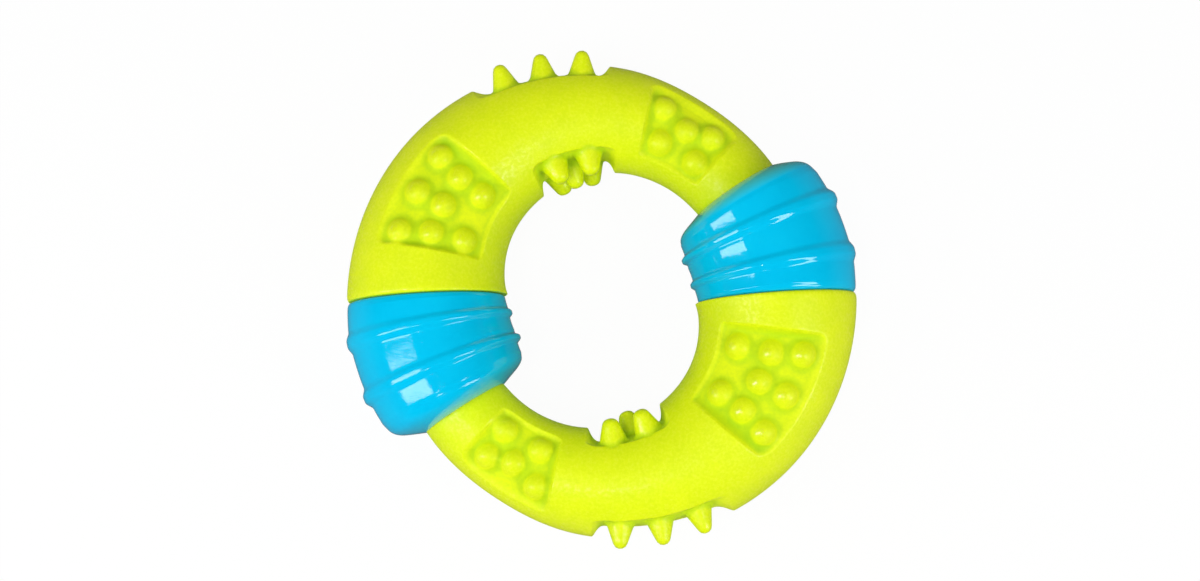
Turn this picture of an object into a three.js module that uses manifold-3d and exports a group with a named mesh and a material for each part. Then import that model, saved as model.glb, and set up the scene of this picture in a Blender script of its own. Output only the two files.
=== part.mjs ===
// Foam dog ring: one moulded foam body with two necks, and a gloss rubber sleeve moulded on each neck.
// Millimetres, +Z up. The ring lies flat and rests on the ribs of its sleeves, at z = 0.
import * as THREE from 'three';
import { mergeVertices } from 'three/addons/utils/BufferGeometryUtils.js';
import Module from 'manifold-3d';

const wasm = await Module();
wasm.setup();

// Foam body. Each half of the ring tapers from a thick shoulder to a slim neck. A turn is an angle in
// degrees from the shoulder face, and the second half repeats the first after HALF_TURN.
const HALF_TURN = 180;
const SHOULDER_OUTER_R = 74.7; // centre of the ring to the outside of the body
const SHOULDER_THICK = 47.2; // thickness of the body, front to back and across
const FLANK_TURN = 45;
const FLANK_OUTER_R = 73.6;
const FLANK_THICK = 40.1;
const WAIST_TURN = 96;
const WAIST_OUTER_R = 68.8;
const WAIST_THICK = 30.9;
const SLIM_TURN = 118;
const SLIM_OUTER_R = 65.7;
const SLIM_THICK = 27.4;
const NECK_TURN = 141.3; // the sleeve starts here and ends at the next shoulder
const NECK_OUTER_R = 64.3;
const NECK_THICK = 26.4;
const LIP_RADIUS = 1.2; // round edge of the shoulder face

// The faces that meet a sleeve are turned a little from the radial plane.
const WIDE_YAW = 3.6;
const NARROW_YAW = -6.1;
const YAW_FADE_TURN = 12;

// Pockets in the front and back faces, with nubs on their floors. An across angle goes round the
// section of the body: 0 on the outside of the ring, 90 on the front face, 180 in the hole. The ends
// of a pocket are askew: each one's turn grows by its skew from the middle to the hole side.
const LARGE_POCKET_TURNS = [12.4, 48.4];
const LARGE_POCKET_SKEWS = [0.5, 2.1];
const LARGE_POCKET_ACROSS = 96;
const LARGE_POCKET_HALF_ANGLE = 43.7;
const SMALL_POCKET_TURNS = [104.1, 131.6];
const SMALL_POCKET_SKEWS = [0.5, 0];
const SMALL_POCKET_ACROSS = 88.4;
const SMALL_POCKET_HALF_ANGLE = 49.4;
const POCKET_EDGE_DEPTH = 0.8;
const POCKET_DEPTH = 2.9;
const POCKET_WALL_RUNS = [3.2, 3.8]; // how far the end walls slope in
const NUB_RADIUS = 4.1;
const NUB_HEIGHT = 3;

// Beds in the outer and the inner side, with spikes on their floors.
const BED_HALF_ANGLE = 50;
const BED_EDGE_DEPTH = 0.6;
const OUTER_BED_TURNS = [58, 92.5];
const OUTER_BED_DEPTH = 3.5;
const OUTER_BED_WALL_RUNS = [5.4, 3.6];
const INNER_BED_TURNS = [61, 96.5];
const INNER_BED_DEPTH = 4.1;
const INNER_BED_WALL_RUNS = [2.6, 3.8];
const SPIKE_HEIGHT = 7;
const SPIKE_BASE_RADIUS = 3.9;
const SPIKE_TIP_RADIUS = 2;
const SPIKE_TIP_FULLNESS = 0.85; // how square the tip's profile is
const SPIKE_ROOT = 1.5; // depth of its root in the floor
const OUTER_SPIKE_ANGLE = 34; // the front and back rows stand this far from the middle plane
const INNER_SPIKE_ANGLE = 36;

// Sleeves. Along goes from the wide end to the narrow one.
const SLEEVE_WIDE_RADIUS = 23.1;
const SLEEVE_BELLY_RADIUS = 23.5;
const SLEEVE_BELLY_FROM = 6;
const SLEEVE_BELLY_TO = 17;
const SLEEVE_SHELF_RADIUS = 22.7;
const SLEEVE_SHELF_AT = 27.6;
const SLEEVE_CORNER_RADIUS = 22.1;
const SLEEVE_CORNER_AT = 29.4;
const SLEEVE_CORNER_ROUND = 2.2;
const SLEEVE_EDGE_RADIUS = 1.3;
const SLEEVE_LIP = 0.5; // thickness of the feathered edge at the narrow end
const SLEEVE_SHIFTS = [0.4, -0.4, -0.1]; // off the neck's centre: wide end, middle, narrow end
const RIB_CREST_RADIUS = 24.6;
const RIB_WIDTH = 5;
const RIB_LAND = 1; // flat top of a rib's profile
const RIBS_AT = [8.7, 21];
const REST_FLAT_DEPTH = 0.25; // the ribs are flat where the ring rests
const FIT_GAP = 0.3; // between a sleeve and the neck and shoulder that it is moulded on

// Facets
const SIDES = 28;
const BODY_STEP = 7;
const NECK_STEPS = 6;
const ROUND_STEPS = 3;
const AREA_ALONG_STEPS = 4;
const AREA_ACROSS_STEPS = 4;
const NUB_SIDES = 8;
const NUB_RINGS = 5;
const SPIKE_SIDES = 8;

const FOAM = new THREE.MeshStandardMaterial({ color: 0xd7f000, roughness: 0.5, metalness: 0 });
const GLOSS_RUBBER = new THREE.MeshStandardMaterial({ color: 0x00b9eb, roughness: 0.12, metalness: 0 });

const radians = THREE.MathUtils.degToRad;
const degrees = THREE.MathUtils.radToDeg;
const lerp = THREE.MathUtils.lerp;
const NECK_SPAN = HALF_TURN - NECK_TURN;
const NECK_R = NECK_THICK / 2;
const SHOULDER_CENTRE_R = SHOULDER_OUTER_R - SHOULDER_THICK / 2;
const NECK_CENTRE_R = NECK_OUTER_R - NECK_R;

// Outer radius and thickness of the body between its stations
const bodyStations = new THREE.CubicInterpolant(
  [0, FLANK_TURN, WAIST_TURN, SLIM_TURN, NECK_TURN],
  [SHOULDER_OUTER_R, SHOULDER_THICK, FLANK_OUTER_R, FLANK_THICK, WAIST_OUTER_R, WAIST_THICK,
    SLIM_OUTER_R, SLIM_THICK, NECK_OUTER_R, NECK_THICK],
  2,
);

// Centre, radius and direction of the body's section at a turn within one half
function bodySection(turn) {
  const alongNeck = (turn - NECK_TURN) / NECK_SPAN;
  if (alongNeck > 0) {
    const toWide = alongNeck ** 2 * WIDE_YAW;
    const toNarrow = (1 - alongNeck) ** 3 * NARROW_YAW;
    return {
      centreR: lerp(NECK_CENTRE_R, SHOULDER_CENTRE_R, alongNeck),
      radius: NECK_R,
      yaw: toWide + toNarrow,
    };
  }
  const [outerR, thick] = bodyStations.evaluate(turn);
  const nearShoulder = Math.max(0, 1 - turn / YAW_FADE_TURN);
  const nearNeck = Math.max(0, 1 - (NECK_TURN - turn) / YAW_FADE_TURN);
  return {
    centreR: outerR - thick / 2,
    radius: thick / 2,
    yaw: nearShoulder ** 2 * WIDE_YAW + nearNeck ** 2 * NARROW_YAW,
  };
}

// Point at a turn and an across angle, at a radius from the section's centre. Shift moves the centre
// outwards, and forward moves the point along the ring, square to the section.
function sectionPoint(turn, across, radius, shift = 0, forward = 0) {
  const { centreR, yaw } = bodySection(turn);
  const angle = radians(HALF_TURN - turn);
  const facing = angle + radians(yaw);
  const reach = radius * Math.cos(radians(across));
  return new THREE.Vector3(
    (centreR + shift) * Math.cos(angle) + reach * Math.cos(facing) + forward * Math.sin(facing),
    (centreR + shift) * Math.sin(angle) + reach * Math.sin(facing) - forward * Math.cos(facing),
    radius * Math.sin(radians(across)),
  );
}

// Loop of points round a section, with a flat side turned to the floor
function sectionLoop(turn, radius, shift = 0, forward = 0) {
  const side = 360 / SIDES;
  return Array.from({ length: SIDES }, (_, k) =>
    sectionPoint(turn, (k + 0.5) * side - 90, radius, shift, forward));
}

// Closed skin over loops that follow each other round and meet again at the first
function skinOverLoops(loops) {
  const sides = loops[0].length;
  const geometry = new THREE.BufferGeometry().setFromPoints(loops.flat());
  const index = [];
  loops.forEach((loop, row) => {
    const here = row * sides;
    const next = ((row + 1) % loops.length) * sides;
    for (let k = 0; k < sides; k += 1) {
      const beside = (k + 1) % sides;
      index.push(here + k, here + beside, next + k);
      index.push(here + beside, next + beside, next + k);
    }
  });
  geometry.setIndex(index);
  return geometry;
}

// Three.js geometry to a solid for joining and cutting
function solidFrom(geometry) {
  const weld = 1e-4;
  const bare = geometry.clone();
  bare.deleteAttribute('normal');
  bare.deleteAttribute('uv');
  const merged = mergeVertices(bare, weld);
  const corners = merged.index.array;
  const triangles = [];
  for (let k = 0; k < corners.length; k += 3) {
    const [a, b, c] = [corners[k], corners[k + 1], corners[k + 2]];
    if (a !== b && b !== c && c !== a) triangles.push(a, b, c);
  }
  return new wasm.Manifold(new wasm.Mesh({
    numProp: 3,
    vertProperties: Float32Array.from(merged.attributes.position.array),
    triVerts: Uint32Array.from(triangles),
  }));
}

// Solid back to a geometry
function geometryFrom(solid) {
  const { vertProperties, triVerts } = solid.getMesh();
  const geometry = new THREE.BufferGeometry();
  geometry.setAttribute('position', new THREE.BufferAttribute(vertProperties, 3));
  geometry.setIndex(new THREE.BufferAttribute(triVerts, 1));
  geometry.computeVertexNormals();
  return geometry;
}

// Turns from the start to the end of a stretch, in even steps
function evenTurns(from, to, steps) {
  return Array.from({ length: steps + 1 }, (_, k) => lerp(from, to, k / steps));
}

const neckTurns = evenTurns(NECK_TURN, HALF_TURN, NECK_STEPS);

// Plain body: shoulder face with a round lip, taper, and neck up to the next shoulder face
function bodyBlank() {
  const halfLoops = (start) => {
    const loops = [];
    for (let k = 0; k <= ROUND_STEPS; k += 1) {
      const lean = (k / ROUND_STEPS) * (Math.PI / 2);
      const turn = degrees((LIP_RADIUS * (1 - Math.cos(lean))) / SHOULDER_CENTRE_R);
      loops.push([turn, bodySection(turn).radius - LIP_RADIUS * (1 - Math.sin(lean))]);
    }
    const taperSteps = Math.round(NECK_TURN / BODY_STEP);
    for (const turn of evenTurns(0, NECK_TURN, taperSteps).slice(1, -1)) {
      loops.push([turn, bodySection(turn).radius]);
    }
    for (const turn of neckTurns) loops.push([turn, NECK_R]);
    const spin = new THREE.Vector3(0, 0, 1);
    return loops.map(([turn, radius]) =>
      sectionLoop(turn, radius).map((point) => point.applyAxisAngle(spin, radians(start))));
  };
  return solidFrom(skinOverLoops([...halfLoops(0), ...halfLoops(-HALF_TURN)]));
}

// A sunk area of the body's surface. Along goes from -1 to 1 between its ends, and side from -1 to 1
// across it: in a pocket from the outside of the ring to its hole. Face is 1 in front and -1 at the
// back. The floor is flatter than the body, so it is deepest down the middle.
function sunkArea({ turns, skews = [0, 0], across, halfAngle, edgeDepth, depth, wallRuns, face = 1 }) {
  const place = (along, side, height) => {
    const [from, to] = turns.map((turn, end) => turn + skews[end] * side);
    const turn = lerp(from, to, (along + 1) / 2);
    return sectionPoint(turn, face * (across + side * halfAngle), bodySection(turn).radius + height);
  };
  const floorDepth = (side) => lerp(depth, edgeDepth, Math.min(1, side ** 2));
  const floorPoint = (along, side) => place(along, side, -floorDepth(side));
  const floorNormal = (along, side) => {
    const step = 0.02;
    const forward = floorPoint(along + step, side).sub(floorPoint(along - step, side));
    const round = floorPoint(along, side + step).sub(floorPoint(along, side - step));
    return round.cross(forward).multiplyScalar(face).normalize();
  };

  // Cutter with sloped walls and round corners: its floor is drawn in and its top spread out by the
  // walls' run
  const cutter = () => {
    const aboveSkin = 1.6;
    const cornerDraw = 0.07;
    const cornerPower = 8;
    const block = new THREE.BoxGeometry(2, 2, 2, AREA_ALONG_STEPS, AREA_ACROSS_STEPS, 1);
    const { radius, centreR } = bodySection((turns[0] + turns[1]) / 2);
    const runsAlong = wallRuns.map((run) => (2 * degrees(run / centreR)) / (turns[1] - turns[0]));
    const runAcross = degrees(wallRuns[0] / radius) / halfAngle;
    const position = block.attributes.position;
    for (let k = 0; k < position.count; k += 1) {
      const x = -position.getX(k);
      const y = face * position.getY(k);
      const along = x * (1 - cornerDraw * y ** cornerPower);
      const side = y * (1 - cornerDraw * x ** cornerPower);
      const height = position.getZ(k) < 0 ? -floorDepth(side) : aboveSkin;
      const endSpread = 1 + (runsAlong[x < 0 ? 0 : 1] * height) / depth;
      const sideSpread = 1 + (runAcross * height * edgeDepth) / depth ** 2;
      const point = place(along * endSpread, side * sideSpread, height);
      position.setXYZ(k, point.x, point.y, point.z);
    }
    return solidFrom(block);
  };
  return { floorPoint, floorNormal, cutter };
}

// Round nub: most of a half ball, sunk into the floor
function nubOn(area, along, side) {
  const rise = area.floorNormal(along, side).multiplyScalar(NUB_HEIGHT - NUB_RADIUS);
  const centre = area.floorPoint(along, side).add(rise);
  const ball = new THREE.SphereGeometry(NUB_RADIUS, NUB_SIDES, NUB_RINGS);
  ball.rotateX(Math.PI / 2);
  ball.translate(centre.x, centre.y, centre.z);
  return solidFrom(ball);
}

// Spike: a tapering cone with a round tip, rooted below the floor and square to it
function spikeOn(area, along, side) {
  const profile = new THREE.Path();
  profile.moveTo(0, -SPIKE_ROOT);
  profile.lineTo(SPIKE_BASE_RADIUS, -SPIKE_ROOT);
  profile.lineTo(SPIKE_BASE_RADIUS, 0);
  profile.lineTo(SPIKE_TIP_RADIUS, SPIKE_HEIGHT - SPIKE_TIP_RADIUS);
  profile.quadraticCurveTo(SPIKE_TIP_RADIUS * SPIKE_TIP_FULLNESS, SPIKE_HEIGHT, 0, SPIKE_HEIGHT);
  const cone = new THREE.LatheGeometry(profile.getPoints(ROUND_STEPS), SPIKE_SIDES);
  const up = new THREE.Vector3(0, 1, 0);
  cone.applyQuaternion(new THREE.Quaternion().setFromUnitVectors(up, area.floorNormal(along, side)));
  const foot = area.floorPoint(along, side);
  cone.translate(foot.x, foot.y, foot.z);
  return solidFrom(cone);
}

// Nubs and spikes by row: how far along the area, then the places across it
const largePocketRows = [
  { along: -0.7, sides: [-0.62] },
  { along: -0.59, sides: [-0.04] },
  { along: -0.53, sides: [0.61] },
  { along: -0.03, sides: [-0.59, -0.02] },
  { along: 0.48, sides: [0.56] },
  { along: 0.52, sides: [-0.03] },
  { along: 0.64, sides: [-0.63] },
];
const smallPocketRows = [
  { along: -0.64, sides: [-0.46] },
  { along: -0.49, sides: [0.52] },
  { along: -0.01, sides: [-0.17] },
  { along: 0.55, sides: [-0.45, 0.51] },
];
const outerSide = OUTER_SPIKE_ANGLE / BED_HALF_ANGLE;
const innerSide = INNER_SPIKE_ANGLE / BED_HALF_ANGLE;
const outerBedRows = [-0.55, 0.01, 0.58].map((along) => ({ along, sides: [-outerSide, outerSide] }));
const innerBedRows = [
  { along: -0.45, sides: [-innerSide, innerSide] },
  { along: -0.1, sides: [0] },
  { along: 0.36, sides: [-innerSide, innerSide] },
];

const pockets = [
  {
    turns: LARGE_POCKET_TURNS,
    skews: LARGE_POCKET_SKEWS,
    across: LARGE_POCKET_ACROSS,
    halfAngle: LARGE_POCKET_HALF_ANGLE,
    rows: largePocketRows,
  },
  {
    turns: SMALL_POCKET_TURNS,
    skews: SMALL_POCKET_SKEWS,
    across: SMALL_POCKET_ACROSS,
    halfAngle: SMALL_POCKET_HALF_ANGLE,
    rows: smallPocketRows,
  },
];
const beds = [
  {
    turns: OUTER_BED_TURNS,
    across: 0,
    depth: OUTER_BED_DEPTH,
    wallRuns: OUTER_BED_WALL_RUNS,
    rows: outerBedRows,
  },
  {
    turns: INNER_BED_TURNS,
    across: 180,
    depth: INNER_BED_DEPTH,
    wallRuns: INNER_BED_WALL_RUNS,
    rows: innerBedRows,
  },
];

// Everything moulded into one half of the body, as solids to cut away and to add
function halfDetails() {
  const cuts = [];
  const adds = [];
  const furnish = ({ rows, ...sizes }, make) => {
    const area = sunkArea(sizes);
    cuts.push(area.cutter());
    for (const { along, sides } of rows) {
      for (const side of sides) adds.push(make(area, along, side));
    }
  };
  const pocketSizes = { edgeDepth: POCKET_EDGE_DEPTH, depth: POCKET_DEPTH, wallRuns: POCKET_WALL_RUNS };
  for (const face of [1, -1]) {
    for (const pocket of pockets) furnish({ ...pocket, ...pocketSizes, face }, nubOn);
  }
  for (const bed of beds) {
    furnish({ ...bed, halfAngle: BED_HALF_ANGLE, edgeDepth: BED_EDGE_DEPTH }, spikeOn);
  }
  return { cuts, adds };
}

function foamBody() {
  let body = bodyBlank();
  const { cuts, adds } = halfDetails();
  const bothHalves = (solid) => [solid, solid.rotate([0, 0, HALF_TURN])];
  for (const cut of cuts.flatMap(bothHalves)) body = body.subtract(cut);
  for (const add of adds.flatMap(bothHalves)) body = body.add(add);
  return geometryFrom(body);
}

const SLEEVE_LENGTH = radians(NECK_SPAN) * ((NECK_CENTRE_R + SHOULDER_CENTRE_R) / 2);

// Radius of a sleeve between its ribs
const sleeveRadii = new THREE.LinearInterpolant(
  [SLEEVE_EDGE_RADIUS, SLEEVE_BELLY_FROM, SLEEVE_BELLY_TO, SLEEVE_SHELF_AT, SLEEVE_CORNER_AT],
  [SLEEVE_WIDE_RADIUS, SLEEVE_BELLY_RADIUS, SLEEVE_BELLY_RADIUS, SLEEVE_SHELF_RADIUS, SLEEVE_CORNER_RADIUS],
  1,
);
const sleeveShifts = new THREE.LinearInterpolant([0, SLEEVE_LENGTH / 2, SLEEVE_LENGTH], SLEEVE_SHIFTS, 1);

// Profile of a sleeve's outside: distance along from its wide end, and radius
function sleeveProfile() {
  const radiusAt = (along) => sleeveRadii.evaluate(along)[0];
  const profile = new THREE.Path();
  profile.moveTo(0, SLEEVE_WIDE_RADIUS - SLEEVE_EDGE_RADIUS);
  profile.quadraticCurveTo(0, SLEEVE_WIDE_RADIUS, SLEEVE_EDGE_RADIUS, SLEEVE_WIDE_RADIUS);
  for (const ribAt of RIBS_AT) {
    const start = ribAt - RIB_WIDTH / 2;
    const end = ribAt + RIB_WIDTH / 2;
    const landStart = ribAt - RIB_LAND / 2;
    const landEnd = ribAt + RIB_LAND / 2;
    const flank = (RIB_WIDTH - RIB_LAND) / 4;
    const crest = RIB_CREST_RADIUS;
    profile.lineTo(start, radiusAt(start));
    profile.bezierCurveTo(start + flank, radiusAt(start), landStart - flank, crest, landStart, crest);
    profile.lineTo(landEnd, crest);
    profile.bezierCurveTo(landEnd + flank, crest, end - flank, radiusAt(end), end, radiusAt(end));
  }
  profile.lineTo(SLEEVE_SHELF_AT, SLEEVE_SHELF_RADIUS);
  const lip = new THREE.Vector2(SLEEVE_LENGTH, NECK_R + FIT_GAP + SLEEVE_LIP);
  const corner = new THREE.Vector2(SLEEVE_CORNER_AT, SLEEVE_CORNER_RADIUS);
  const roundEnd = lip.clone().sub(corner).setLength(SLEEVE_CORNER_ROUND).add(corner);
  profile.quadraticCurveTo(corner.x, corner.y, roundEnd.x, roundEnd.y);
  profile.lineTo(lip.x, lip.y);
  return profile.getPoints(ROUND_STEPS);
}

// Sleeve: its outside from the wide end to the narrow one, and its bore back over the neck
function sleeveBody() {
  const outside = sleeveProfile().map(({ x, y }) => {
    const turn = HALF_TURN - (x / SLEEVE_LENGTH) * NECK_SPAN;
    return sectionLoop(turn, y, sleeveShifts.evaluate(x)[0], -FIT_GAP);
  });
  const bore = neckTurns.map((turn) => sectionLoop(turn, NECK_R + FIT_GAP, 0, -FIT_GAP));
  const sleeve = solidFrom(skinOverLoops([...outside.reverse(), ...bore.reverse()]));
  const floorWidth = 4 * SHOULDER_OUTER_R;
  const floor = new THREE.BoxGeometry(floorWidth, floorWidth, RIB_CREST_RADIUS);
  floor.translate(0, 0, REST_FLAT_DEPTH - 1.5 * RIB_CREST_RADIUS);
  return geometryFrom(sleeve.subtract(solidFrom(floor)));
}

const group = new THREE.Group();
group.position.z = RIB_CREST_RADIUS - REST_FLAT_DEPTH;

const foamRing = new THREE.Mesh(foamBody(), FOAM);
foamRing.name = 'foam_ring';
group.add(foamRing);

const sleeveGeometry = sleeveBody();
['sleeve_right', 'sleeve_left'].forEach((name, half) => {
  const sleeve = new THREE.Mesh(sleeveGeometry, GLOSS_RUBBER);
  sleeve.name = name;
  sleeve.rotation.z = radians(half * HALF_TURN);
  group.add(sleeve);
});

export default group;
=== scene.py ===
import math

import bpy
import numpy as np
from mathutils import Matrix, Vector


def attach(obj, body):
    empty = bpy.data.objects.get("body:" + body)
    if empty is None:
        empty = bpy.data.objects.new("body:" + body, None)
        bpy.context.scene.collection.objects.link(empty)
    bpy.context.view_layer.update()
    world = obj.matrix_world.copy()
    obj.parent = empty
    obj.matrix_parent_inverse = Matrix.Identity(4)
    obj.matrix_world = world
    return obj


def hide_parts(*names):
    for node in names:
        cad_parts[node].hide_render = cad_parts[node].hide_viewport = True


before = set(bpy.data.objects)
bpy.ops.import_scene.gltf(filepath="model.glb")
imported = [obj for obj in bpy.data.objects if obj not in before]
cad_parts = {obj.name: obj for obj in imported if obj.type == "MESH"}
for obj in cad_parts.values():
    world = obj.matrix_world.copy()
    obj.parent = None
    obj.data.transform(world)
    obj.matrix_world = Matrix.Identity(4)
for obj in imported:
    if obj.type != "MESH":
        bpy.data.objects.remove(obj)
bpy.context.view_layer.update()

MM = 0.001
HALF_TURN = 180.0

# Foam body, in millimetres and degrees, as in the solids. Each half has stations along it, from its
# shoulder at turn 0 to its neck, which runs on to the other half's shoulder at turn 180
STATION_TURNS = np.array([0.0, 45.0, 96.0, 118.0, 141.3])
STATION_OUTER_R = np.array([74.7, 73.6, 68.8, 65.7, 64.3])
STATION_THICK = np.array([47.2, 40.1, 30.9, 27.4, 26.4])
NECK_TURN = 141.3
WIDE_YAW = 3.6
NARROW_YAW = -6.1
YAW_FADE = 12.0
LIP_RADIUS = 1.2
MID_HEIGHT = 24.35

NECK_R = STATION_THICK[-1] / 2
NECK_CENTRE_R = STATION_OUTER_R[-1] - NECK_R
SHOULDER_CENTRE_R = STATION_OUTER_R[0] - STATION_THICK[0] / 2
NECK_SPAN = HALF_TURN - NECK_TURN


def along_stations(turns, values):
    """Smooth curve through the values at the stations, with straight ends."""
    stations = STATION_TURNS
    last = len(stations) - 1
    k1 = np.clip(np.searchsorted(stations, turns, side="right"), 1, last)
    k0 = k1 - 1
    before = np.where(k0 == 0, k1, k0 - 1)
    after = np.where(k1 == last, k0, np.minimum(k1 + 1, last))
    half = (stations[k1] - stations[k0]) / 2
    pull_back = half / (stations[k0] - stations[before])
    pull_on = half / (stations[after] - stations[k1])
    p = (turns - stations[k0]) / (2 * half)
    return (values[before] * pull_back * (-p**3 + 2 * p**2 - p)
            + values[k0] * ((1 + pull_back) * p**3 - (1.5 + 2 * pull_back) * p**2
                            + (pull_back - 0.5) * p + 1)
            + values[k1] * ((1.5 + pull_on) * p**2 - (1 + pull_on) * p**3 + 0.5 * p)
            + values[after] * pull_on * (p**3 - p**2))


def body_section(turns):
    """Centre radius, tube radius and yaw of the body's section at each turn of a half."""
    turns = np.asarray(turns, float)
    on_body = np.minimum(turns, NECK_TURN)
    thick = along_stations(on_body, STATION_THICK)
    centre = along_stations(on_body, STATION_OUTER_R) - thick / 2
    near_shoulder = np.clip(1 - turns / YAW_FADE, 0, None)
    near_neck = np.clip(1 - (NECK_TURN - turns) / YAW_FADE, 0, None)
    yaw = near_shoulder**2 * WIDE_YAW + near_neck**2 * NARROW_YAW
    along_neck = np.clip((turns - NECK_TURN) / NECK_SPAN, 0, 1)
    neck_centre = NECK_CENTRE_R + (SHOULDER_CENTRE_R - NECK_CENTRE_R) * along_neck
    neck_yaw = along_neck**2 * WIDE_YAW + (1 - along_neck)**3 * NARROW_YAW
    on_neck = turns > NECK_TURN
    return (np.where(on_neck, neck_centre, centre),
            np.where(on_neck, NECK_R, thick / 2),
            np.where(on_neck, neck_yaw, yaw))


def ring_points(turns, across, radii, half):
    """Points at turns, across angles and radii from the section's centre, in metres."""
    centre, _, yaw = body_section(turns)
    angle = np.radians(HALF_TURN * (1 - half) - turns)
    facing = angle + np.radians(yaw)
    reach = radii * np.cos(np.radians(across))
    x = centre * np.cos(angle) + reach * np.cos(facing)
    y = centre * np.sin(angle) + reach * np.sin(facing)
    z = radii * np.sin(np.radians(across)) + MID_HEIGHT
    return np.stack(np.broadcast_arrays(x, y, z), axis=-1) * MM


# Share of a wall's run over which a sunk area's corners are rounded
CORNER_SPAN = 1.35
# Painted shade on the end walls of the large pockets: its depth, how far in it reaches from each end's
# rim, and how steeply it sets in at the ends and sides
WALL_SHADE = 0.55
SHADE_REACHES = (0.9, 1.5)
SHADE_END_RISE = 3
SHADE_SIDE_RISE = 2


class SunkArea:
    """A sunk area of the body: its rim, its walls and a floor that is deepest along its middle.

    Across angles of a back area are those of the front one with the sign turned. The runs say how far
    the walls slope in: first and second end, outer and inner side. The shifts, one pair for each half
    of the ring, move the first end and skew it."""

    def __init__(self, turns, across, half_across, depth, edge_depth, end_runs, side_runs,
                 skews=(0.0, 0.0), shifts=((0.0, 0.0), (0.0, 0.0)), face=1):
        self.turns = turns
        self.skews = skews
        self.shifts = shifts
        self.across = across
        self.half_across = half_across
        self.depth = depth
        self.edge_depth = edge_depth
        self.end_runs = end_runs
        self.side_runs = side_runs
        self.face = face

    def ends(self, side):
        return [turn + skew * side for turn, skew in zip(self.turns, self.skews)]

    def spot(self, along, side):
        """Turn and across angle of a place on the floor, both from -1 to 1."""
        low, high = self.ends(side)
        turn = low + (high - low) * (along + 1) / 2
        return turn, self.face * (self.across + side * self.half_across)

    def way_in(self, turns, across, half):
        """How far in from the rims of both end walls and of the nearer side wall, in shares of their
        runs, and the share of the way across."""
        centre, radius, _ = body_section(turns)
        off = (self.face * across - self.across + HALF_TURN) % (2 * HALF_TURN) - HALF_TURN
        side = off / self.half_across
        low, high = self.ends(np.clip(side, -1, 1))
        shift, skew = self.shifts[half]
        low = low + shift + skew * np.clip(side, -1, 1)
        per_degree = np.radians(1.0) * (centre + radius * np.cos(np.radians(across)))
        to_ends = ((turns - low) * per_degree / self.end_runs[0],
                   (high - turns) * per_degree / self.end_runs[1])
        side_run = np.where(side < 0, self.side_runs[0], self.side_runs[1])
        to_side = np.radians(self.half_across - np.abs(off)) * radius / side_run
        return to_ends, to_side, side

    def shade_at(self, turns, across, half):
        """How deep the painted shade is on the end walls: wide at the second end, narrow at the first.
        """
        to_ends, to_side, _ = self.way_in(turns, across, half)
        shade = sum(np.clip(SHADE_END_RISE * to_end, 0, 1) * np.clip(reach - to_end, 0, 1)
                    for to_end, reach in zip(to_ends, SHADE_REACHES))
        return WALL_SHADE * shade * np.clip(SHADE_SIDE_RISE * to_side, 0, 1)

    def depth_at(self, turns, across, half):
        """How far the surface lies below the plain body."""
        to_ends, to_side, side = self.way_in(turns, across, half)
        lack = np.hypot(np.clip(CORNER_SPAN - np.minimum(*to_ends), 0, None),
                        np.clip(CORNER_SPAN - to_side, 0, None))
        floor = self.depth + (self.edge_depth - self.depth) * np.clip(np.abs(side), 0, 1)**2
        return floor * wall(CORNER_SPAN - lack)


def wall(share):
    """Fall of a wall from its rim at 0 to its foot at 1, rounded at both."""
    rim, foot = 0.14, 0.72
    s = np.clip(share, 0, 1)
    top = np.where(s < rim, s**2 / (2 * rim), s - rim / 2)
    left = np.clip(s - (1 - foot), 0, None)
    return (top - left**2 / (2 * foot)) / (1 - rim / 2 - foot / 2)


# Sunk areas. Turns and skews of their ends, and across angles, as in the solids
BED_HALF_ACROSS = 50.0
LARGE_POCKET = dict(turns=(12.4, 48.4), skews=(0.5, 2.1), shifts=((1.7, 1.1), (-0.85, 0.75)),
                    across=96.0, half_across=43.7)
SMALL_POCKET = dict(turns=(104.1, 131.6), skews=(0.5, 0.0), across=88.4, half_across=49.4)
POCKET_WALLS = dict(depth=2.9, edge_depth=0.8, end_runs=(2.5, 3.8), side_runs=(2.8, 1.4))
front_large = SunkArea(**LARGE_POCKET, **POCKET_WALLS)
back_large = SunkArea(**LARGE_POCKET, **POCKET_WALLS, face=-1)
front_small = SunkArea(**SMALL_POCKET, **POCKET_WALLS)
back_small = SunkArea(**SMALL_POCKET, **POCKET_WALLS, face=-1)
outer_bed = SunkArea((58.0, 92.5), 0.0, BED_HALF_ACROSS, 3.5, 0.6, (5.4, 3.6), (1.6, 1.6))
inner_bed = SunkArea((61.0, 96.5), 180.0, BED_HALF_ACROSS, 4.1, 0.6, (2.6, 3.8), (1.6, 1.6))
SUNK_AREAS = [front_large, back_large, front_small, back_small, outer_bed, inner_bed]
SHADED_AREAS = [front_large, back_large]

# Nubs and spikes: how far along their area, and how far across it
LARGE_NUBS = [(-0.70, -0.62), (-0.59, -0.04), (-0.53, 0.61), (-0.02, -0.59), (-0.05, -0.02),
              (0.48, 0.56), (0.52, -0.03), (0.64, -0.63)]
SMALL_NUBS = [(-0.64, -0.46), (-0.49, 0.52), (-0.01, -0.17), (0.55, -0.45), (0.54, 0.51)]
OUTER_SIDE = 34.0 / BED_HALF_ACROSS
INNER_SIDE = 36.0 / BED_HALF_ACROSS
OUTER_SPIKES = [(along, side) for along in (-0.55, 0.01, 0.58) for side in (-OUTER_SIDE, OUTER_SIDE)]
INNER_SPIKES = [(-0.45, -INNER_SIDE), (-0.45, INNER_SIDE), (-0.1, 0.0),
                (0.36, -INNER_SIDE), (0.36, INNER_SIDE)]
NUB_HEIGHT = 2.9
NUB_CAP_R = 4.0
NUB_LEAN = 57.0
SPIKE_HEIGHT = 7.1
SPIKE_TIP_DROP = 1.9
# tip and base radius of the outer and the inner spikes
OUTER_SPIKE_RADII = (2.05, 3.95)
INNER_SPIKE_RADII = (2.4, 4.1)

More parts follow.
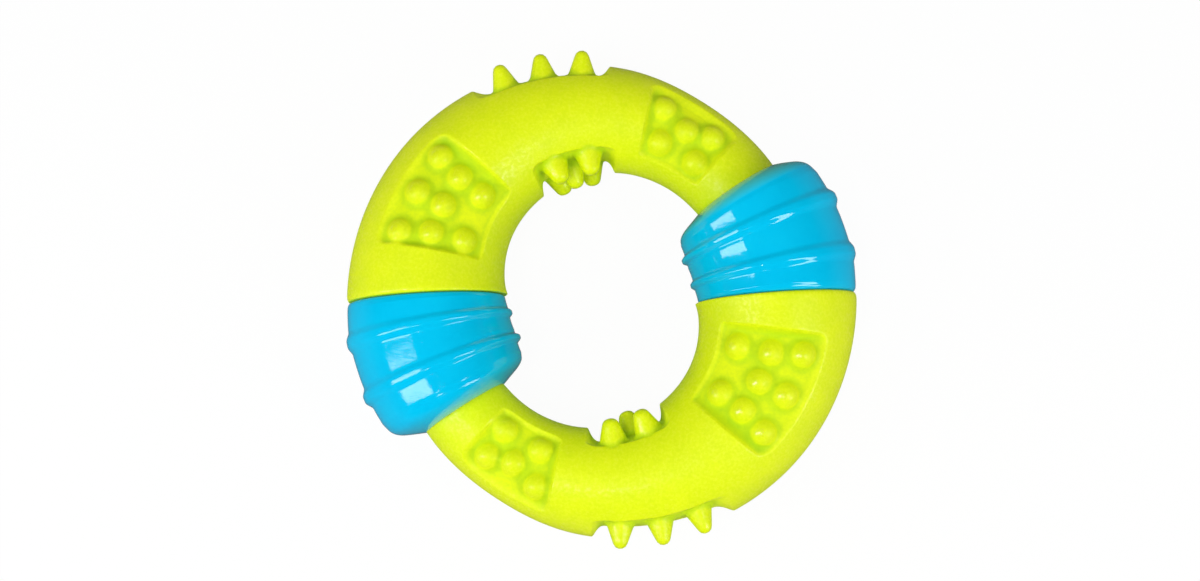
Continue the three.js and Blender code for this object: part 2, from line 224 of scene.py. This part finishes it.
# The foam skin's lines: counts on the shoulder face, its lip and the neck; steps in degrees on the
# body and round it, closer together where the walls of the sunk areas are
FACE_LINES = 8
LIP_LINES = 7
NECK_LINES = 14
BODY_STEPS = (0.5, 0.32)
BODY_WALLS = [(9, 20), (42, 52), (57, 64), (88, 98), (103, 109), (126, 133)]
ACROSS_STEPS = (1.35, 0.7)
ACROSS_WALLS = [(36, 62), (129, 141), (219, 231), (298, 324)]


def graded(start, stop, coarse, fine, fine_spans):
    """Lines from start to stop, closer together inside the fine spans."""
    lines = [start]
    while lines[-1] < stop:
        inside = any(low <= lines[-1] < high for low, high in fine_spans)
        lines.append(lines[-1] + (fine if inside else coarse))
    lines = np.array(lines)
    return start + (lines - start) * (stop - start) / (lines[-1] - start)


def half_rows():
    """Rows of one half as (turn, drop below the body's radius): face, lip, body, neck."""
    shoulder_r = STATION_THICK[0] / 2
    face = [(0.0, shoulder_r - r)
            for r in np.linspace(NECK_R, shoulder_r - LIP_RADIUS, FACE_LINES)[:-1]]
    lip = []
    for lean in np.linspace(0, math.pi / 2, LIP_LINES):
        turn = math.degrees(LIP_RADIUS * (1 - math.cos(lean)) / SHOULDER_CENTRE_R)
        lip.append((turn, LIP_RADIUS * (1 - math.sin(lean))))
    body = [(turn, 0.0) for turn in graded(lip[-1][0], NECK_TURN, *BODY_STEPS, BODY_WALLS)[1:]]
    neck = [(turn, 0.0) for turn in np.linspace(NECK_TURN, HALF_TURN, NECK_LINES)[1:-1]]
    return np.array(face + lip + body + neck)


ACROSS_LINES = graded(0.0, 2 * HALF_TURN, *ACROSS_STEPS, ACROSS_WALLS)[:-1]


def surface(turns, across, drop, half):
    """Points of the foam's skin with its sunk areas, before nubs and spikes."""
    _, radius, _ = body_section(turns)
    depth = sum(area.depth_at(turns, across, half) for area in SUNK_AREAS)
    return ring_points(turns, across, radius - drop - depth, half)


def foot_and_normal(turn, across, half):
    """Foot of a nub or spike on the skin, and the way it points."""
    step = 0.4
    turns = np.array([turn, turn + step, turn - step, turn, turn])
    sides = np.array([across, across, across, across + step, across - step])
    foot, on, back, up, down = surface(turns, sides, 0.0, half)
    normal = np.cross(up - down, on - back)
    return foot, normal / np.linalg.norm(normal)


def lathe(outline, soften):
    """Outline of a round bump, softened, from tip to foot: the share of its length, the distance out
    and the height."""
    samples, spread = 600, 3
    out = np.linspace(0, outline[-1][0], samples)
    up = np.interp(out, [p[0] for p in outline], [p[1] for p in outline])
    step = out[1] - out[0]
    reach = int(spread * soften / step)
    kernel = np.exp(-0.5 * (np.arange(-reach, reach + 1) * step / soften) ** 2)
    padded = np.concatenate([up[reach:0:-1], up, np.full(reach, up[-1])])
    up = np.convolve(padded, kernel / kernel.sum(), mode="valid")
    length = np.concatenate([[0], np.cumsum(np.hypot(np.diff(out), np.diff(up)))])
    return length / length[-1], out * MM, up * MM


def round_nub():
    """A ball's cap on a short cone, with a soft foot."""
    lean, tail, soften = math.radians(NUB_LEAN), 1.3, 0.5
    cap = [(NUB_CAP_R * math.sin(a), NUB_HEIGHT - NUB_CAP_R * (1 - math.cos(a)))
           for a in np.linspace(0, lean, 30)]
    foot_r = cap[-1][0] + cap[-1][1] / math.tan(lean)
    return lathe(cap + [(foot_r, 0.0), (foot_r + tail, 0.0)], soften)


def tall_spike(tip_r, base_r):
    """A tapered spike with a blunt round tip and a small foot."""
    fullness, power, soften = 0.94, 2.1, 0.2
    foot_rise, foot_run, tail = 0.25, 0.55, 0.9
    dome = [(tip_r * r, SPIKE_HEIGHT - SPIKE_TIP_DROP * (1 - math.sqrt(1 - fullness * r**power)))
            for r in np.linspace(0, 1, 40)]
    side = [(base_r, foot_rise), (base_r + foot_run, 0.0), (base_r + tail, 0.0)]
    return lathe(dome + side, soften)


def pull_out(points, foot, normal, bump):
    """Draws the skin round a foot out into a bump, like a grab stroke along the normal, and says
    which points it moved."""
    share, out, up = bump
    reach = out[-1]
    offset = points - foot
    rise = offset @ normal
    flat = offset - rise[:, None] * normal
    distance = np.linalg.norm(flat, axis=1)
    near = (distance < reach) & (np.abs(rise) < reach)
    distance = np.maximum(distance[near], 1e-9)
    place = distance / reach
    shrink = np.interp(place, share, out) / distance
    height = np.interp(place, share, up) + rise[near] * shrink**2
    points[near] = foot + flat[near] * shrink[:, None] + height[:, None] * normal
    return near


def deselect():
    bpy.ops.object.select_all(action="DESELECT")


def add_field(piece, name, values):
    """One value for each point of a piece, for its finish to read."""
    piece.data.attributes.new(name, "FLOAT", "POINT").data.foreach_set("value", values)


# Painted shade at the butt joint with a sleeve, where the foam's face lies in shade: rows of skin, and
# how deep the painted shade is
JOINT_ROWS = 10
JOINT_SHADE = 2.0
# Finding creases and dips, where shade is painted: smoothing steps along the skin, and the depth in
# millimetres that counts as full
CREASES = ((1, 1, 1, 2), 0.12)
DIPS = ((2, 3, 3, 3), 0.5)


def crevices(skin):
    """How deep each point of the skin lies in a crease or dip, small creases and whole pockets together;
    the painted shade is darkest there.
    """
    normal = np.cross(np.roll(skin, -1, 1) - np.roll(skin, 1, 1),
                      np.roll(skin, -1, 0) - np.roll(skin, 1, 0))
    normal /= np.linalg.norm(normal, axis=2, keepdims=True)
    soft, total = skin, 0.0
    for steps, full in (CREASES, DIPS):
        for step in steps:
            soft = sum(np.roll(soft, move, axis) for move in (step, -step) for axis in (0, 1)) / 4
        total = total + np.clip(((soft - skin) * normal).sum(axis=2) / MM / full, -1, 1) / 2
    return total


# Rubbed shine on the nubs: its centre off the tip and its radius, in millimetres, how steeply it sets
# in, and its strength in the small pockets
GLINT_OFF = np.array([-1.3, 0.3, 0.0])
GLINT_R = 1.9
GLINT_FULL = 1.5
SMALL_GLINT = 0.3
# Gloss of the raised parts: spikes, how much less nubs have, and what a nub's shine adds. Then the
# painted shade on nubs
RAISED_GLOSS = 0.35
NUB_LESS = 0.75
GLINT_MORE = 1.6
NUB_SHADE = 0.35
# How far out a point begins to count as raised, and the depth of a wholly dull floor, in millimetres
RAISED_FROM = 0.8
DULL_DEPTH = 1.2


def foam_half(rows, half):
    """Skin of one half, with its gloss and the painted shade on walls and nubs, besides that of creases.
    """
    turns, across, shape = rows[:, :1], ACROSS_LINES[None, :], (len(rows), len(ACROSS_LINES))
    points = surface(turns, across, rows[:, 1:], half).reshape(-1, 3)
    plain = points.copy()
    glint, on_nub = np.zeros(len(points)), np.zeros(len(points))
    nub = round_nub()
    stands = [(front_large, LARGE_NUBS, nub), (front_small, SMALL_NUBS, nub),
              (outer_bed, OUTER_SPIKES, tall_spike(*OUTER_SPIKE_RADII)),
              (inner_bed, INNER_SPIKES, tall_spike(*INNER_SPIKE_RADII)),
              (back_large, LARGE_NUBS, nub), (back_small, SMALL_NUBS, nub)]
    for area, places, bump in stands:
        for along, side in places:
            foot, normal = foot_and_normal(*area.spot(along, side), half)
            moved = pull_out(points, foot, normal, bump)
            if bump is nub:
                on_nub[moved] = 1
                shine = foot + normal * NUB_HEIGHT * MM + GLINT_OFF * MM
                off = np.linalg.norm(points - shine, axis=1) / (GLINT_R * MM)
                strength = 1.0 if places is LARGE_NUBS else SMALL_GLINT
                patch = strength * np.clip(GLINT_FULL - GLINT_FULL * off**2, 0, 1)
                glint = np.maximum(glint, patch)
    raised = np.clip(np.linalg.norm(points - plain, axis=1) / MM - RAISED_FROM, 0, 1)
    glint, on_nub, raised = [field.reshape(shape) for field in (glint, on_nub, raised)]
    sunk = sum(area.depth_at(turns, across, half) for area in SUNK_AREAS)
    # painted shade on the large pockets' end walls
    walls = sum(area.shade_at(turns, across, half) for area in SHADED_AREAS)
    gloss = (raised * (RAISED_GLOSS - on_nub * NUB_LESS + glint * GLINT_MORE)
             - np.clip(sunk / DULL_DEPTH, 0, 1) * (1 - raised))
    # the painted shade: on the end walls off the bumps, and on the nubs
    return points.reshape(*shape, 3), gloss, walls * (1 - raised) + NUB_SHADE * on_nub * raised


# The flat sheet that is wrapped round the ring, in metres
SHEET_SIZE = 0.3


def foam_ring():
    """One foam piece: a grid wrapped round the ring, whose skin is set row by row."""
    rows = half_rows()
    count, sides = len(rows), len(ACROSS_LINES)
    deselect()
    bpy.ops.mesh.primitive_grid_add(x_subdivisions=sides, y_subdivisions=2 * count, size=SHEET_SIZE)
    ring = bpy.context.object
    ring.name = "foam_body"
    halves = [foam_half(rows, half) for half in (0, 1)]
    skin, gloss, shade = [np.concatenate(field) for field in zip(*halves)]
    # painted shade: darker where the skin lies in creases and pockets, plus that on end walls and nubs
    painted_shade = crevices(skin) + shade
    for half in (0, 1):
        # painted shade on the shoulder face's rows beside each sleeve
        painted_shade[half * count:half * count + JOINT_ROWS] = JOINT_SHADE
    # the first row and line again as the last, to close the ring
    fields = [np.concatenate([field, field[:1]], axis=0) for field in (skin, painted_shade, gloss)]
    skin, painted_shade, gloss = [np.concatenate([field, field[:, :1]], axis=1) for field in fields]
    ring.data.vertices.foreach_set("co", skin.ravel())
    add_field(ring, "painted_shade", painted_shade.ravel())
    add_field(ring, "gloss", gloss.ravel())
    ring.data.update()
    bpy.ops.object.mode_set(mode="EDIT")
    bpy.ops.mesh.select_all(action="SELECT")
    bpy.ops.mesh.remove_doubles(threshold=1e-7)
    bpy.ops.mesh.normals_make_consistent(inside=False)
    bpy.ops.object.mode_set(mode="OBJECT")
    bpy.ops.object.shade_smooth()
    return ring


# Sleeves, in millimetres. Places are distances from the wide end, along the neck. Radii are in the
# ring's plane, heights square to it
SLEEVE_MEAN_R = 51.1
SLEEVE_LENGTH = math.radians(NECK_SPAN) * SLEEVE_MEAN_R
SLEEVE_EDGE_RADIUS = 1.3
SLEEVE_PLACES = [1.3, 6.0, 17.0, 27.6, 29.4]
SLEEVE_RADII = [23.1, 23.5, 23.5, 22.7, 22.1]
SLEEVE_HEIGHT_PLACES = [1.3, 6.0, 17.0, 28.3, 29.4]
SLEEVE_HEIGHTS = [23.35, 23.4, 23.5, 23.5, 23.25]
SLEEVE_CENTRE_PLACES = [0.0, SLEEVE_LENGTH / 2, SLEEVE_LENGTH]
SLEEVE_CENTRES = [51.5, 50.7, 51.0]
CORNER_ROUND = 2.2
# the corner's control point as a share of its round, where its curve ends on the fall to the lip, and
# how fully the height keeps up
CORNER_PEAK = 0.8
CORNER_END = 0.35
RISE_POWER = 2.4
CORNER_SLOPE = (SLEEVE_RADII[-1] - SLEEVE_RADII[-2]) / (SLEEVE_PLACES[-1] - SLEEVE_PLACES[-2])
RIB_CREST_R = 24.6
RIB_PLACES = [8.7, 21.0]
RIB_WIDTH = 5.0
RIB_LAND = 1.0
RIB_SKIRT = 0.1
AROUND = 144
LONG_LINES = 90
EDGE_LINES = 8
CORNER_LINES = 12
FALL_LINES = 16
# the flat face of the wide end: how far it stands off the shoulder at the neck and further out, how
# far off the neck it starts, and how far out it is flat
FACE_OFF_AT_NECK = 0.15
FACE_OFF = 0.05
FACE_GAP = 0.05
FACE_RUN = 3.0
# the lip: how proud of the neck it ends, and how far its edge turns into the neck
LIP_PROUD = 0.12
LIP_SUNK = 0.2
# how strongly the lips of the right and left sleeve turn greenish, and how scuffed the two are
LIP_TEAL = [0.9, 0.0]
WORN = [0.0, 1.0]
LIP_FADE = 0.8


def sleeve_rings():
    """The rings of a sleeve's skin: distance from the wide end, radius in the ring's plane, height."""
    lip_r = NECK_R + LIP_PROUD
    rings = [(FACE_OFF_AT_NECK, NECK_R + FACE_GAP, NECK_R + FACE_GAP),
             (FACE_OFF, NECK_R + FACE_RUN, NECK_R + FACE_RUN)]
    for lean in np.linspace(0, math.pi / 2, EDGE_LINES):
        edge_r = SLEEVE_RADII[0] - SLEEVE_EDGE_RADIUS * (1 - math.sin(lean))
        rings.append((FACE_OFF + SLEEVE_EDGE_RADIUS * (1 - math.cos(lean)), edge_r, edge_r))
    corner = np.array([SLEEVE_PLACES[-1], SLEEVE_RADII[-1], SLEEVE_HEIGHTS[-1]])
    for at in np.linspace(rings[-1][0], corner[0], LONG_LINES)[1:]:
        sizes = [np.interp(at, SLEEVE_PLACES, SLEEVE_RADII),
                 np.interp(at, SLEEVE_HEIGHT_PLACES, SLEEVE_HEIGHTS)]
        for rib in RIB_PLACES:
            off = abs(at - rib)
            share = min(1.0, max(0.0, (RIB_WIDTH / 2 - off) / (RIB_WIDTH / 2 - RIB_LAND / 2)))
            crest = share**2 * (3 - 2 * share)
            skirt = RIB_SKIRT * math.exp(-(off / RIB_WIDTH)**2)
            sizes = [size + (top - size) * crest + skirt * (1 - crest)
                     for size, top in zip(sizes, (RIB_CREST_R, MID_HEIGHT))]
        rings.append((at, *sizes))
    # a soft corner, then the fall to the lip; the height keeps up longer and rounds over
    end = np.array([SLEEVE_LENGTH, lip_r])
    peak = corner[:2] + np.array([1.0, CORNER_SLOPE]) * CORNER_ROUND * CORNER_PEAK
    fall = peak + (end - peak) * CORNER_END
    places = [(1 - t)**2 * corner[:2] + 2 * t * (1 - t) * peak + t**2 * fall
              for t in np.linspace(0, 1, CORNER_LINES)[1:]]
    places += [fall + (end - fall) * math.sin(math.pi / 2 * t)
               for t in np.linspace(0, 1, FALL_LINES)[1:]]
    for at, reach in places:
        share = (at - corner[0]) / (SLEEVE_LENGTH - corner[0])
        rise = lip_r + (corner[2] - lip_r) * math.sqrt(max(0.0, 1 - share**RISE_POWER))
        rings.append((at, reach, rise))
    rings.append((SLEEVE_LENGTH, NECK_R - LIP_SUNK, NECK_R - LIP_SUNK))
    return rings


def sleeve_station(at):
    """Place of a sleeve's centre and the way it faces, at a distance from its wide end."""
    turn = HALF_TURN - at / SLEEVE_LENGTH * NECK_SPAN
    along_neck = (turn - NECK_TURN) / NECK_SPAN
    yaw = along_neck**2 * WIDE_YAW + max(0.0, 1 - along_neck)**3 * NARROW_YAW
    centre = np.interp(at, SLEEVE_CENTRE_PLACES, SLEEVE_CENTRES)
    angle = math.radians(HALF_TURN - turn)
    place = Vector((centre * math.cos(angle), centre * math.sin(angle), MID_HEIGHT)) * MM
    return place, angle + math.radians(yaw)


def sleeve(name, half):
    """A rubber sleeve: a circle drawn along the neck, ring by ring."""
    rings = sleeve_rings()
    turn_half = Matrix.Rotation(math.pi * half, 4, "Z")
    place, facing = sleeve_station(rings[0][0])
    facing += math.pi * half
    place = turn_half @ place
    deselect()
    bpy.ops.mesh.primitive_circle_add(vertices=AROUND, radius=rings[0][1] * MM, location=place,
                                      rotation=(math.pi / 2, 0, facing))
    piece = bpy.context.object
    piece.name = name
    bpy.ops.object.transform_apply(location=True, rotation=True, scale=True)
    bpy.ops.object.mode_set(mode="EDIT")
    bpy.ops.mesh.select_all(action="SELECT")
    last = rings[0]
    for at, reach, rise in rings[1:]:
        here, heading = sleeve_station(at)
        here, heading = turn_half @ here, heading + math.pi * half
        bpy.ops.mesh.extrude_region_move(TRANSFORM_OT_translate={"value": here - place})
        spin = heading - facing
        if abs(spin) > 1e-9:
            bpy.ops.transform.rotate(value=-spin, orient_axis="Z", center_override=here)
        grow = reach / last[1]
        bpy.ops.transform.resize(value=(grow, grow, rise / last[2]), center_override=here)
        place, facing, last = here, heading, (at, reach, rise)
    bpy.ops.mesh.select_all(action="SELECT")
    bpy.ops.mesh.normals_make_consistent(inside=False)
    bpy.ops.object.mode_set(mode="OBJECT")
    bpy.ops.object.shade_smooth()
    along = np.array([ring[0] for ring in rings])
    to_lip = np.clip((along - SLEEVE_PLACES[-1]) / (SLEEVE_LENGTH - SLEEVE_PLACES[-1]), 0, 1)
    add_field(piece, "thin", np.repeat(to_lip**LIP_FADE * LIP_TEAL[half], AROUND))
    add_field(piece, "worn", np.full(len(rings) * AROUND, WORN[half]))
    return piece


class Socket:
    """A node's output in a sum: operators add the Math nodes."""

    def __init__(self, tree, link):
        self.tree = tree
        self.link = link

    def maths(self, operation, *values):
        node = self.tree.nodes.new("ShaderNodeMath")
        node.operation = operation
        for slot, value in zip(node.inputs, values):
            if isinstance(value, Socket):
                self.tree.links.new(value.link, slot)
            else:
                slot.default_value = value
        return Socket(self.tree, node.outputs[0])

    def __add__(self, other):
        return self.maths("ADD", self, other)

    __radd__ = __add__

    def __sub__(self, other):
        return self.maths("SUBTRACT", self, other)

    def __rsub__(self, other):
        return self.maths("SUBTRACT", other, self)

    def __mul__(self, other):
        return self.maths("MULTIPLY", self, other)

    __rmul__ = __mul__

    def at_least(self, low):
        return self.maths("MAXIMUM", self, low)


# Places of the colour sockets on a Mix node
MIX_LOW = 6
MIX_HIGH = 7
MIX_RESULT = 2


class Finish:
    """The nodes of a material or world under construction."""

    def __init__(self, owner):
        owner.use_nodes = True
        self.owner = owner
        self.tree = owner.node_tree
        self.tree.nodes.clear()

    def node(self, kind, settings=None, sockets=None, out=0):
        """Adds a node, with its settings first and then its sockets, and returns one of its outputs."""
        node = self.tree.nodes.new(kind)
        for key, value in (settings or {}).items():
            setattr(node, key, value)
        for key, value in (sockets or {}).items():
            if isinstance(value, Socket):
                self.tree.links.new(value.link, node.inputs[key])
            else:
                node.inputs[key].default_value = value
        return Socket(self.tree, node.outputs[out]) if node.outputs else None

    def noise(self, place, scale, detail, roughness):
        return self.node("ShaderNodeTexNoise", sockets={
            "Vector": place, "Scale": scale, "Detail": detail, "Roughness": roughness}, out="Fac")

    def field(self, name):
        return self.node("ShaderNodeAttribute", {"attribute_name": name}, out="Fac")

    def blend(self, factor, low, high):
        """Mix of two colours, each a value or a socket."""
        return self.node("ShaderNodeMix", {"data_type": "RGBA", "clamp_factor": True},
                         {"Factor": factor, MIX_LOW: low, MIX_HIGH: high}, out=MIX_RESULT)

    def close(self, shader, end="ShaderNodeOutputMaterial"):
        self.node(end, sockets={"Surface": shader})
        return self.owner


def foam_finish():
    """Closed-cell foam with a satin skin: fine mottled grain, painted shade in deeper green, soft sheen.
    """
    f = Finish(bpy.data.materials.new("foam_skin"))
    place = f.node("ShaderNodeTexCoord", out="Object")
    cloud = f.noise(place, 120.0, 3.0, 0.6)
    grain = f.noise(place, 1100.0, 2.0, 0.6)
    painted_shade, gloss = f.field("painted_shade"), f.field("gloss")
    mottle = (cloud - 0.5) * 1.2 + (grain - 0.5) * 2.1 + 0.5
    lime = f.blend(mottle, (0.68, 0.81, 0.001, 1), (0.80, 0.90, 0.002, 1))
    # painted shade: a deeper green in creases and pockets, on the large pockets' end walls, on nubs and
    # at the joints
    colour = f.blend(painted_shade * 0.35, lime, (0.16, 0.50, 0.0, 1))
    bump = f.node("ShaderNodeBump", sockets={
        "Height": grain * 0.5 + cloud * 0.5, "Strength": 0.25, "Distance": 0.00025})
    # sheen on the grains that stand highest, and on the rubbed tips
    sheen = ((grain - 0.46) * 5.0).at_least(0.0) * (gloss + 1) + (gloss - 0.4).at_least(0.0) * 1.6
    shader = f.node("ShaderNodeBsdfPrincipled", sockets={
        "Base Color": colour, "Roughness": mottle * 0.06 + 0.44 - gloss * 0.25, "Normal": bump,
        "Subsurface Weight": 0.35, "Subsurface Scale": 0.0015, "Subsurface Radius": (1.0, 1.0, 0.2),
        "Specular IOR Level": 0.3, "Coat Weight": sheen, "Coat Roughness": 0.28})
    return f.close(shader)


def rubber_finish():
    """Gloss rubber: deep blue with a slightly wavy skin, greenish where the lip thins out, scuffed
    where it is worn."""
    f = Finish(bpy.data.materials.new("gloss_rubber"))
    place = f.node("ShaderNodeTexCoord", out="Object")
    wave = f.noise(place, 90.0, 1.5, 0.45)
    speck = f.noise(place, 600.0, 2.0, 0.5)
    stroke = f.node("ShaderNodeMapping", sockets={
        "Vector": place, "Rotation": (0, 0, 0.5), "Scale": (500.0, 2600.0, 500.0)})
    scuff = f.noise(stroke, 1.0, 2.0, 0.6)
    tint = (wave - 0.5) * 0.9 + (speck - 0.5) * 0.4 + 0.5
    blue = f.blend(tint, (0.0, 0.47, 0.80, 1), (0.002, 0.55, 0.86, 1))
    colour = f.blend(f.field("thin"), blue, (0.10, 0.54, 0.34, 1))
    bump = f.node("ShaderNodeBump", sockets={
        "Height": wave * 0.8 + speck * 0.2 + scuff * f.field("worn") * 0.25,
        "Strength": 0.25, "Distance": 0.0004})
    shader = f.node("ShaderNodeBsdfPrincipled", sockets={
        "Base Color": colour, "Roughness": speck * 0.03 + 0.05, "Normal": bump, "IOR": 1.5})
    return f.close(shader)


WHITE = (1, 1, 1, 1)
FLOOR_SIZE = 12


def seen_and_mirrored(f):
    """Whether the camera looks straight at it, and whether it is seen in something glossy."""
    return [f.node("ShaderNodeLightPath", out=ray) for ray in ("Is Camera Ray", "Is Glossy Ray")]


def floor_finish():
    """White to the camera and faint in gloss, but a plain card that keeps a trace of the shadow."""
    f = Finish(bpy.data.materials.new("white_floor"))
    seen, mirrored = seen_and_mirrored(f)
    faint, bright_share = 0.1, 0.96
    card = f.node("ShaderNodeBsdfDiffuse", sockets={"Color": (0.85, 0.85, 0.85, 1)})
    white = f.node("ShaderNodeEmission", sockets={
        "Color": WHITE, "Strength": seen + mirrored * faint})
    shader = f.node("ShaderNodeMixShader", sockets={
        0: (seen + mirrored) * bright_share, 1: card, 2: white})
    return f.close(shader)


def floor():
    deselect()
    bpy.ops.mesh.primitive_plane_add(size=FLOOR_SIZE)
    board = bpy.context.object
    board.name = "floor"
    board.data.materials.append(floor_finish())


def surroundings():
    """White to the camera, and a soft fill. Glossy skins see a faint card low down and dark overhead."""
    world = bpy.data.worlds.new("surroundings")
    bpy.context.scene.world = world
    f = Finish(world)
    seen, mirrored = seen_and_mirrored(f)
    place = f.node("ShaderNodeTexCoord", out="Generated")
    high = f.node("ShaderNodeSeparateXYZ", sockets={0: place}, out="Z")
    card_top, card_fade, soften = 0.08, 4.0, 0.1
    overhead = ((high - card_top) * card_fade).at_least(0.0)
    overhead = overhead.maths("SMOOTH_MIN", overhead, 1.0, soften)
    card_level, fill_level = 0.08, 0.39
    level = (seen + mirrored * (1 - overhead) * card_level
             + (1 - seen) * (1 - mirrored) * fill_level)
    colour = f.blend(seen, (0.96, 1.0, 0.92, 1), WHITE)
    light = f.node("ShaderNodeBackground", sockets={"Color": colour, "Strength": level})
    f.close(light, "ShaderNodeOutputWorld")


RING_MIDDLE = Vector((0, 0, MID_HEIGHT * MM))


def softbox(name, place, size, watts, in_gloss=True):
    """A lamp with a flat face that looks at the middle of the ring."""
    data = bpy.data.lights.new(name, "AREA")
    data.shape = "RECTANGLE"
    data.size, data.size_y = size
    data.energy = watts
    lamp = bpy.data.objects.new(name, data)
    bpy.context.scene.collection.objects.link(lamp)
    lamp.location = place
    lamp.rotation_euler = (Vector(place) - RING_MIDDLE).to_track_quat("Z", "Y").to_euler()
    lamp.visible_glossy = in_gloss


def lamps():
    """Two tall boxes that make the windows on the sleeves, a key light, and a spark for glints."""
    softbox("left_box", (-0.325, -0.125, 0.33), (0.10, 0.35), 0.8)
    softbox("right_box", (0.325, -0.165, 0.33), (0.10, 0.35), 0.8)
    softbox("key", (-0.15, -0.14, 0.84), (0.2, 0.2), 1.75, in_gloss=False)
    softbox("spark", (-0.17, -0.27, 0.8), (0.07, 0.07), 0.4)


def camera():
    """Looks down on the lying ring, a little off square, as the photograph was taken."""
    distance, lean, side, roll = 0.455, math.radians(5.69), math.radians(9.7), math.radians(-9.9)
    pixels_per_metre, frame_width, sensor = 3400.0, 1200, 36
    back = Vector((math.sin(side) * math.sin(lean), -math.cos(side) * math.sin(lean),
                   math.cos(lean)))
    right = Vector((math.cos(side), math.sin(side), 0))
    up = back.cross(right)
    right, up = (right * math.cos(roll) + up * math.sin(roll),
                 up * math.cos(roll) - right * math.sin(roll))
    pixels_right, pixels_up = -1.3, 8.4
    aim = RING_MIDDLE + (right * pixels_right + up * pixels_up) / pixels_per_metre
    data = bpy.data.cameras.new("camera")
    eye = bpy.data.objects.new("camera", data)
    bpy.context.scene.collection.objects.link(eye)
    data.sensor_width = sensor
    data.lens = sensor * distance * pixels_per_metre / frame_width
    data.clip_start = 0.01
    turn = Matrix((right, up, back)).transposed()
    eye.matrix_world = Matrix.Translation(aim + back * distance) @ turn.to_4x4()
    bpy.context.scene.camera = eye


bpy.context.scene.view_settings.view_transform = "Standard"
camera()
lamps()
surroundings()
floor()

body = foam_ring()
body.data.materials.append(foam_finish())
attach(body, "root")
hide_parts("foam_ring")

rubber = rubber_finish()
for half, side in enumerate(("right", "left")):
    piece = sleeve("rubber_sleeve_" + side, half)
    piece.data.materials.append(rubber)
    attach(piece, "root")
    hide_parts("sleeve_" + side)
